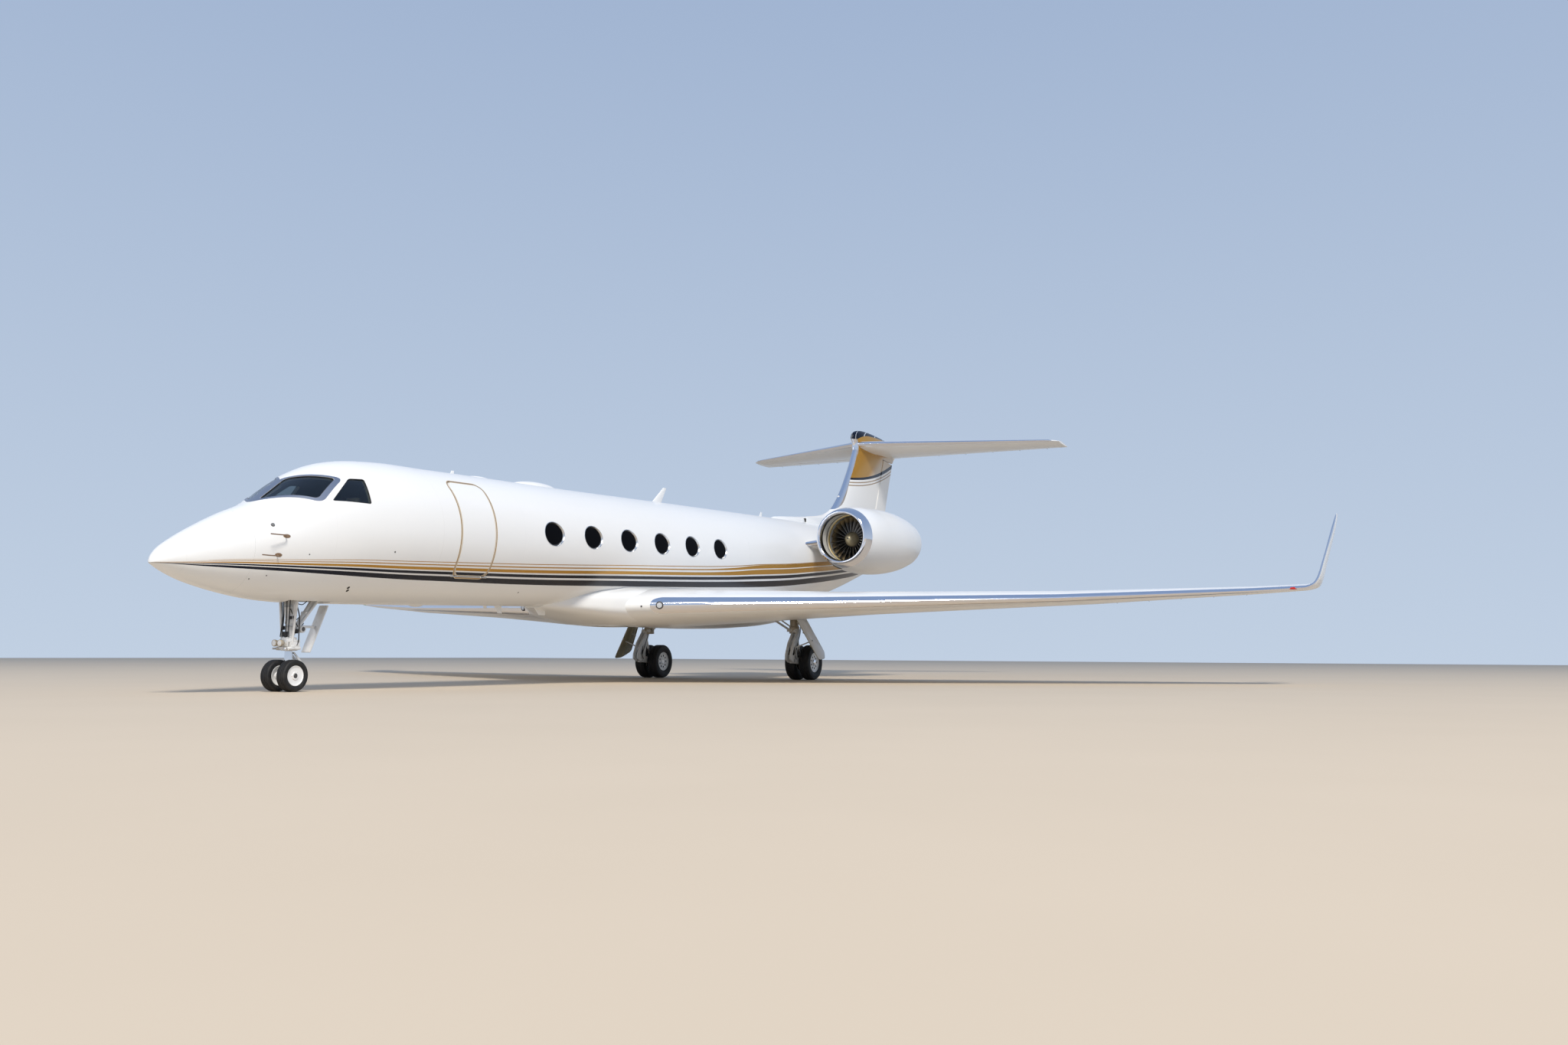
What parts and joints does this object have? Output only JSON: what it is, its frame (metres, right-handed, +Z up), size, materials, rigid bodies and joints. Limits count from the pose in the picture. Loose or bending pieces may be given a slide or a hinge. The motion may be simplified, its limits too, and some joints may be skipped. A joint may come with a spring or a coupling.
{
  "type": "twin-engine business jet",
  "caption": "Long-range business jet with swept wings and winglets, T-tail, rear-mounted turbofans, bottom-hinged entry door and tricycle landing gear.",
  "frame": {"origin": "on the ground under the centreline, half way between the nose tip and the tips of the horizontal stabilizer", "axes": "+X to the jet's left (port), +Y aft, +Z up"},
  "size_m": [28.4972, 29.39, 7.7193],
  "materials": {
    "white_paint": "gloss",
    "white_composite": "gloss",
    "dark_glass": "gloss",
    "cabin_trim": "matte",
    "black_plastic": "matte",
    "cream_leather": "satin",
    "exhaust_steel": "satin",
    "engine_steel": "satin",
    "fan_metal": "satin",
    "chromed_steel": "polished",
    "tyre_rubber": "matte"
  },
  "bodies": {
    "airframe": {"radome": "white_composite", "cockpit_shell": "white_paint", "cabin_shell": "white_paint", "tail_cone": "white_paint", "belly_fairing": "white_composite", "left_windshield": "dark_glass", "right_windshield": "dark_glass", "left_side_window": "dark_glass", "right_side_window": "dark_glass", "left_cabin_windows": "dark_glass", "right_cabin_windows": "dark_glass", "cabin_floor": "cabin_trim", "instrument_panel": "black_plastic", "left_pilot_seat": "cream_leather", "right_pilot_seat": "cream_leather", "left_wing": "white_paint", "right_wing": "white_paint", "fin": "white_paint", "horizontal_stabilizer": "white_paint", "left_nacelle": "white_composite", "right_nacelle": "white_composite", "left_exhaust_nozzle": "exhaust_steel", "right_exhaust_nozzle": "exhaust_steel", "left_engine_core": "engine_steel", "right_engine_core": "engine_steel", "left_pylon": "white_paint", "right_pylon": "white_paint", "nose_gear_leg": "white_paint", "nose_gear_door": "white_composite", "left_main_gear_leg": "white_paint", "right_main_gear_leg": "white_paint", "left_main_gear_arm": "white_paint", "right_main_gear_arm": "white_paint", "left_main_gear_door": "white_composite", "right_main_gear_door": "white_composite"},
    "entry_door": {"entry_door": "white_paint"},
    "rudder": {"rudder": "white_composite"},
    "left_elevator": {"left_elevator": "white_composite"},
    "right_elevator": {"right_elevator": "white_composite"},
    "left_aileron": {"left_aileron": "white_composite"},
    "right_aileron": {"right_aileron": "white_composite"},
    "left_flap": {"left_flap": "white_paint"},
    "right_flap": {"right_flap": "white_paint"},
    "left_spoilers": {"left_spoilers": "white_composite"},
    "right_spoilers": {"right_spoilers": "white_composite"},
    "left_fan": {"left_fan": "fan_metal"},
    "right_fan": {"right_fan": "fan_metal"},
    "nose_fork": {"nose_steering_fork": "chromed_steel"},
    "nose_wheels": {"left_nose_wheel_tyre": "tyre_rubber", "left_nose_wheel_hub": "white_paint", "right_nose_wheel_tyre": "tyre_rubber", "right_nose_wheel_hub": "white_paint"},
    "left_main_wheels": {"left_outer_main_wheel_tyre": "tyre_rubber", "left_outer_main_wheel_hub": "white_paint", "left_inner_main_wheel_tyre": "tyre_rubber", "left_inner_main_wheel_hub": "white_paint"},
    "right_main_wheels": {"right_outer_main_wheel_tyre": "tyre_rubber", "right_outer_main_wheel_hub": "white_paint", "right_inner_main_wheel_tyre": "tyre_rubber", "right_inner_main_wheel_hub": "white_paint"}
  },
  "joints": [
    {"name": "entry_door", "type": "hinge", "parent": "airframe", "child": "entry_door", "pos_m": [0.96595, -9.091, 1.956], "axis": [0, 0.9996, 0.0285], "range_deg": [0, 135]},
    {"name": "rudder", "type": "hinge", "parent": "airframe", "child": "rudder", "pos_m": [0, 11.205, 4.76], "axis": [0, 0.3657, 0.9308], "range_deg": [-22, 22]},
    {"name": "left_elevator", "type": "hinge", "parent": "airframe", "child": "left_elevator", "pos_m": [0.33, 12.265, 7.20275], "axis": [0.9335, 0.356, 0.0438], "range_deg": [-13, 24]},
    {"name": "right_elevator", "type": "hinge", "parent": "airframe", "child": "right_elevator", "pos_m": [-0.33, 12.265, 7.20275], "axis": [0.9335, -0.356, -0.0438], "range_deg": [-13, 24]},
    {"name": "left_aileron", "type": "hinge", "parent": "airframe", "child": "left_aileron", "pos_m": [9.16, 2.745, 1.87811], "axis": [0.951, 0.3047, 0.0521], "range_deg": [-11, 11]},
    {"name": "right_aileron", "type": "hinge", "parent": "airframe", "child": "right_aileron", "pos_m": [-9.16, 2.745, 1.87811], "axis": [0.951, -0.3047, -0.0521], "range_deg": [-11, 11]},
    {"name": "left_flap", "type": "hinge", "parent": "airframe", "child": "left_flap", "pos_m": [1.66, 1.255, 1.16858], "axis": [-0.9808, -0.1898, -0.0436], "range_deg": [0, 39]},
    {"name": "right_flap", "type": "hinge", "parent": "airframe", "child": "right_flap", "pos_m": [-1.66, 1.255, 1.16858], "axis": [-0.9808, 0.1898, 0.0436], "range_deg": [0, 39]},
    {"name": "left_spoilers", "type": "hinge", "parent": "airframe", "child": "left_spoilers", "pos_m": [4.692, 1.20928, 1.83868], "axis": [0.9739, 0.2246, 0.0325], "range_deg": [0, 55]},
    {"name": "right_spoilers", "type": "hinge", "parent": "airframe", "child": "right_spoilers", "pos_m": [-4.692, 1.20928, 1.83868], "axis": [0.9739, -0.2246, -0.0325], "range_deg": [0, 55]},
    {"name": "left_fan", "type": "hinge", "parent": "airframe", "child": "left_fan", "pos_m": [2.155, 4.925, 3.725], "axis": [0, 1, 0], "continuous": true},
    {"name": "right_fan", "type": "hinge", "parent": "airframe", "child": "right_fan", "pos_m": [-2.155, 4.925, 3.725], "axis": [0, 1, 0], "continuous": true},
    {"name": "nose_steering", "type": "hinge", "parent": "airframe", "child": "nose_fork", "pos_m": [0, -12.15, 0.5], "axis": [0, 0, 1], "range_deg": [-80, 80]},
    {"name": "nose_wheels", "type": "hinge", "parent": "nose_fork", "child": "nose_wheels", "pos_m": [0, -12.215, 0.25], "axis": [1, 0, 0], "continuous": true},
    {"name": "left_main_wheels", "type": "hinge", "parent": "airframe", "child": "left_main_wheels", "pos_m": [2.187, 1.885, 0.425], "axis": [1, 0, 0], "continuous": true},
    {"name": "right_main_wheels", "type": "hinge", "parent": "airframe", "child": "right_main_wheels", "pos_m": [-2.187, 1.885, 0.425], "axis": [1, 0, 0], "continuous": true}
  ],
  "couplings": [
    {"joint": "right_elevator", "follows": "left_elevator", "ratio": 1},
    {"joint": "right_aileron", "follows": "left_aileron", "ratio": -1},
    {"joint": "right_flap", "follows": "left_flap", "ratio": 1},
    {"joint": "right_spoilers", "follows": "left_spoilers", "ratio": 1}
  ]
}
